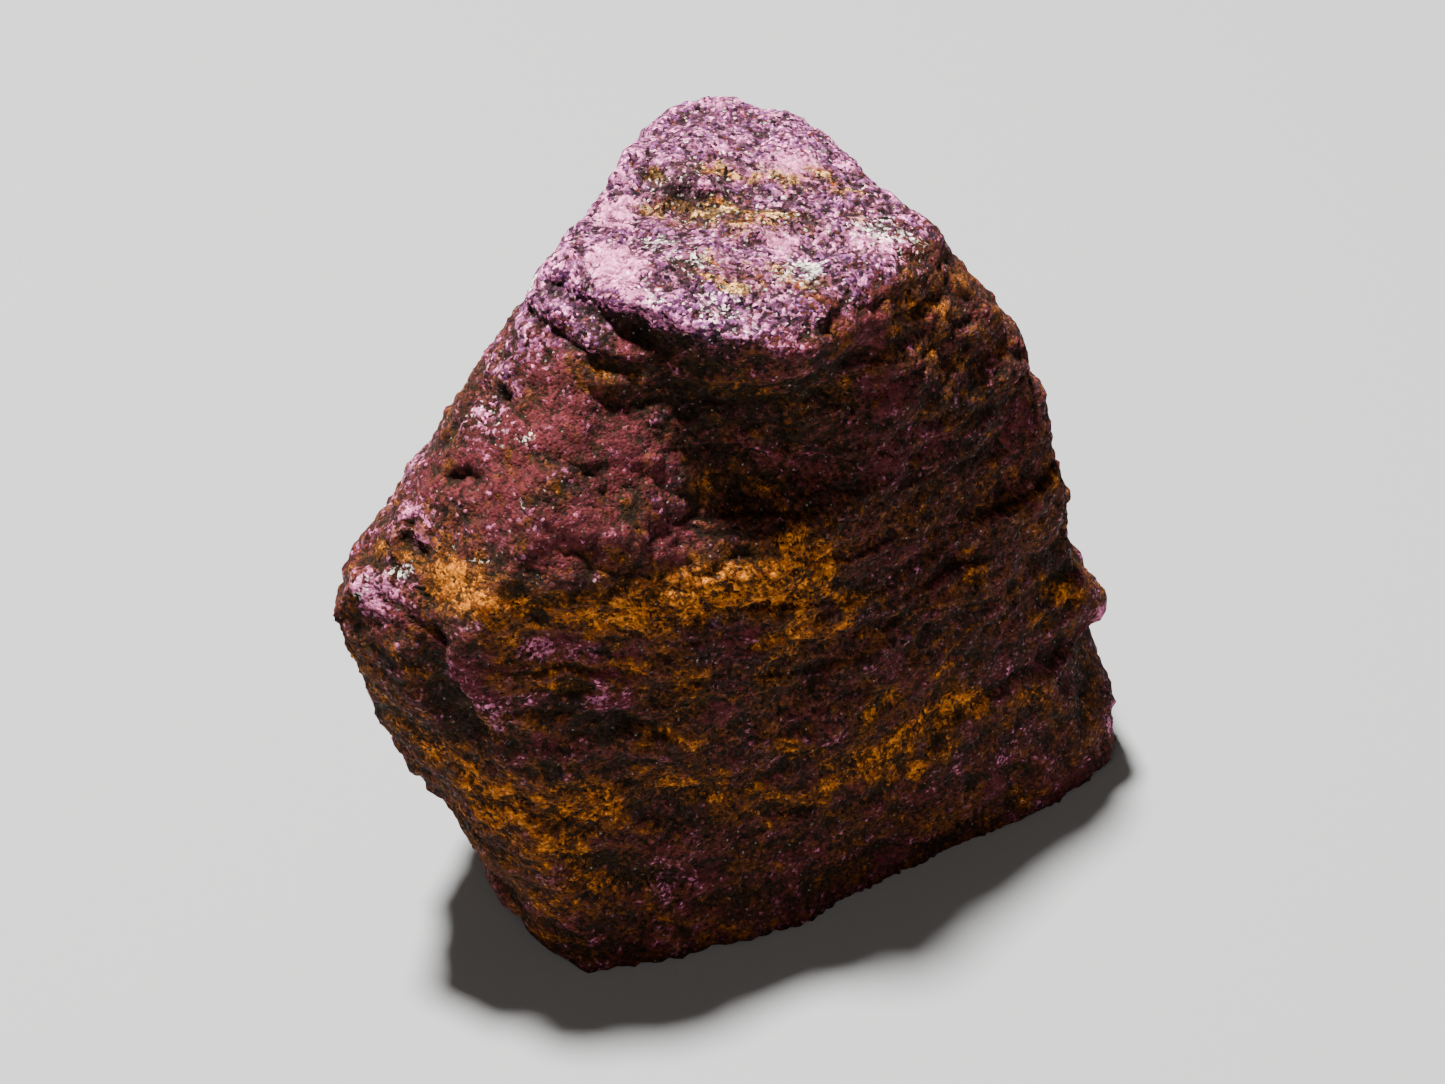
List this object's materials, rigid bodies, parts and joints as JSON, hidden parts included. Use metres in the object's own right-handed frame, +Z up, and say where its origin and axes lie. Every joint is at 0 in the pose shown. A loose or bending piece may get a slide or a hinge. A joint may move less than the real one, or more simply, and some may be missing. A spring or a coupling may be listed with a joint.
{
  "type": "purpurite specimen",
  "caption": "Broken hand specimen of purpurite, a rough purple phosphate lump with rust and ochre seams, resting on a flat face.",
  "frame": {"origin": "on the resting plane, under the middle of the stone's bounding box", "axes": "+Z is up with the stone at rest on its flat face, -Y is the way that the tall broken front face looks, and +X runs to the right along the stone's longest extent as seen from the front"},
  "size_m": [0.0396, 0.0316, 0.0382],
  "materials": {
    "purpurite": "dull, finely granular broken surface, maroon to lilac, with rust and ochre seams"
  },
  "bodies": {
    "root": {"purpurite_mass": "purpurite"}
  },
  "joints": []
}
